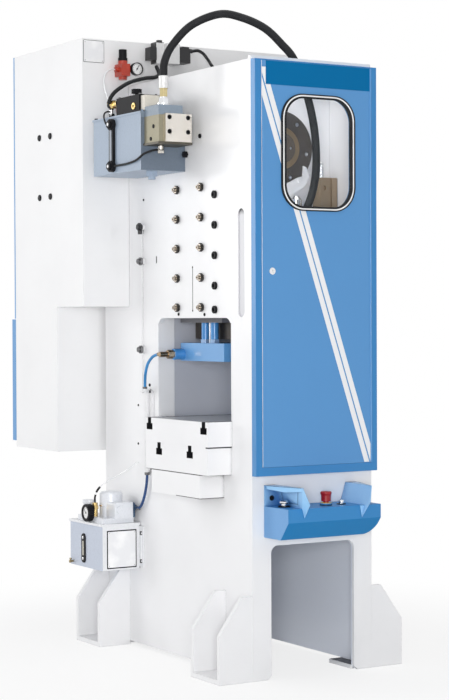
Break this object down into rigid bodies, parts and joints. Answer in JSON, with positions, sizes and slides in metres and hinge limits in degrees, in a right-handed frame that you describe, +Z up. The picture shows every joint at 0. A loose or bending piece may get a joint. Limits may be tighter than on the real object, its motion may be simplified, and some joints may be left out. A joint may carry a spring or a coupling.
{
  "type": "eccentric press",
  "caption": "Closed-frame eccentric press with T-slotted bolster, rear flywheel guard, glazed front door, hydraulic and lubrication units and a two-hand control desk.",
  "frame": {"origin": "on the floor at the centre of the four anchor holes, under the middle of the body", "axes": "+Z up, -Y towards the operator, +X to the operator's right"},
  "size_m": [1.065, 1.8943, 2.6279],
  "materials": {
    "white_paint": "gloss",
    "bed_paint": "satin",
    "wall_grey": "satin",
    "blue_paint": "gloss",
    "bright_blue": "gloss",
    "hose_blue": "satin",
    "unit_grey": "satin",
    "steel": "machined",
    "iron": "turned",
    "bronze": "machined",
    "zinc": "zinc plated",
    "pale_zinc": "zinc plated",
    "tank_steel": "satin",
    "rubber": "matt",
    "black_plastic": "satin",
    "red_plastic": "gloss",
    "clear": "clear"
  },
  "bodies": {
    "frame": {"left_side_plate": "white_paint", "right_side_plate": "white_paint", "front_plate": "white_paint", "rear_plate": "white_paint", "front_bearing_wall": "white_paint", "rear_bearing_wall": "white_paint", "die_space_wall": "wall_grey", "feet": "white_paint", "bed_block": "bed_paint", "bolster": "bed_paint", "slide_gibs": "steel", "gib_screws": "bronze", "bearing_flange": "steel", "bearing_bushes": "bronze", "drive_belt": "rubber", "motor": "unit_grey", "rear_guard": "white_paint", "rear_cover": "blue_paint", "door_frame": "blue_paint", "oil_tank": "unit_grey", "level_gauge": "black_plastic", "pump_manifold": "zinc", "manifold_plate": "pale_zinc", "relief_block": "unit_grey", "control_valve": "black_plastic", "hose_fitting": "steel", "main_hose": "rubber", "return_tube": "rubber", "air_regulator": "red_plastic", "air_gauge": "black_plastic", "air_valves": "black_plastic", "lube_tank": "tank_steel", "lube_pump": "tank_steel", "lube_gauge": "tank_steel", "lube_hose": "rubber", "pipe_fittings": "white_paint", "console": "bright_blue", "hand_hoods": "bright_blue"},
    "ram": {"slide": "steel", "wrist_pin": "steel", "die_clamp": "bright_blue", "clamp_posts": "bright_blue", "clamp_hose": "hose_blue"},
    "crank": {"eccentric_shaft": "steel", "clutch_brake": "steel"},
    "rod": {"connecting_rod": "steel"},
    "flywheel_body": {"flywheel": "iron"},
    "pulley": {"motor_pulley": "iron"},
    "door": {"door_leaf": "blue_paint", "window_gasket": "rubber", "window_glass": "clear"},
    "lock": {"door_lock": "steel"},
    "rear_door": {"cabinet_door": "blue_paint"},
    "valve_screw": {"valve_knob": "black_plastic"},
    "regulator_screw": {"regulator_knob": "black_plastic"},
    "needle": {"gauge_needle": "black_plastic"},
    "left_palm": {"palm_left": "steel"},
    "right_palm": {"palm_right": "steel"},
    "stop": {"stop_button": "red_plastic"},
    "start": {"start_button": "steel"}
  },
  "joints": [
    {"name": "shaft_turn", "type": "hinge", "parent": "frame", "child": "crank", "pos_m": [0, 0, 2.085], "axis": [0, 1, 0], "continuous": true},
    {"name": "rod_swing", "type": "hinge", "parent": "crank", "child": "rod", "pos_m": [0, -0.136, 2.1], "axis": [0, 1, 0], "continuous": true},
    {"name": "slide_stroke", "type": "slide", "parent": "frame", "child": "ram", "axis": [0, 0, -1], "range_m": [0, 0.03], "deforming": ["clamp_hose"]},
    {"name": "flywheel_turn", "type": "hinge", "parent": "frame", "child": "flywheel_body", "pos_m": [0, 0.75, 2.085], "axis": [0, 1, 0], "continuous": true},
    {"name": "pulley_turn", "type": "hinge", "parent": "frame", "child": "pulley", "pos_m": [0, 0.75, 1.12], "axis": [0, 1, 0], "continuous": true},
    {"name": "door_swing", "type": "hinge", "parent": "frame", "child": "door", "pos_m": [0.2594, -0.639, 1.6], "axis": [0, 0, 1], "range_deg": [0, 110]},
    {"name": "lock_turn", "type": "hinge", "parent": "door", "child": "lock", "pos_m": [-0.207, -0.639, 1.583], "axis": [0, -1, 0], "range_deg": [0, 90]},
    {"name": "rear_door_swing", "type": "hinge", "parent": "frame", "child": "rear_door", "pos_m": [0.55, 1.067, 1.1], "axis": [0, 0, -1], "range_deg": [0, 110]},
    {"name": "valve_screw_turn", "type": "hinge", "parent": "frame", "child": "valve_screw", "pos_m": [-0.431, 0.032, 2.33], "axis": [0, 0, 1], "range_deg": [0, 330]},
    {"name": "regulator_turn", "type": "hinge", "parent": "frame", "child": "regulator_screw", "pos_m": [-0.327, 0.347, 2.52], "axis": [0, 0, 1], "range_deg": [0, 330]},
    {"name": "needle_turn", "type": "hinge", "parent": "frame", "child": "needle", "pos_m": [-0.277, 0.31, 2.466], "axis": [0, 1, 0], "range_deg": [-165, 105]},
    {"name": "left_palm_press", "type": "slide", "parent": "frame", "child": "left_palm", "axis": [0, 0, -1], "range_m": [0, 0.008], "stiffness_N_per_m": 600},
    {"name": "right_palm_press", "type": "slide", "parent": "frame", "child": "right_palm", "axis": [0, 0, -1], "range_m": [0, 0.008], "stiffness_N_per_m": 600},
    {"name": "start_press", "type": "slide", "parent": "frame", "child": "start", "axis": [0, 0, -1], "range_m": [0, 0.004], "stiffness_N_per_m": 600},
    {"name": "stop_press", "type": "slide", "parent": "frame", "child": "stop", "axis": [0, 0, -1], "range_m": [0, 0.005]}
  ],
  "couplings": [
    {"joint": "rod_swing", "follows": "shaft_turn", "ratio": -1},
    {"joint": "pulley_turn", "follows": "flywheel_turn", "ratio": 4.4444}
  ]
}
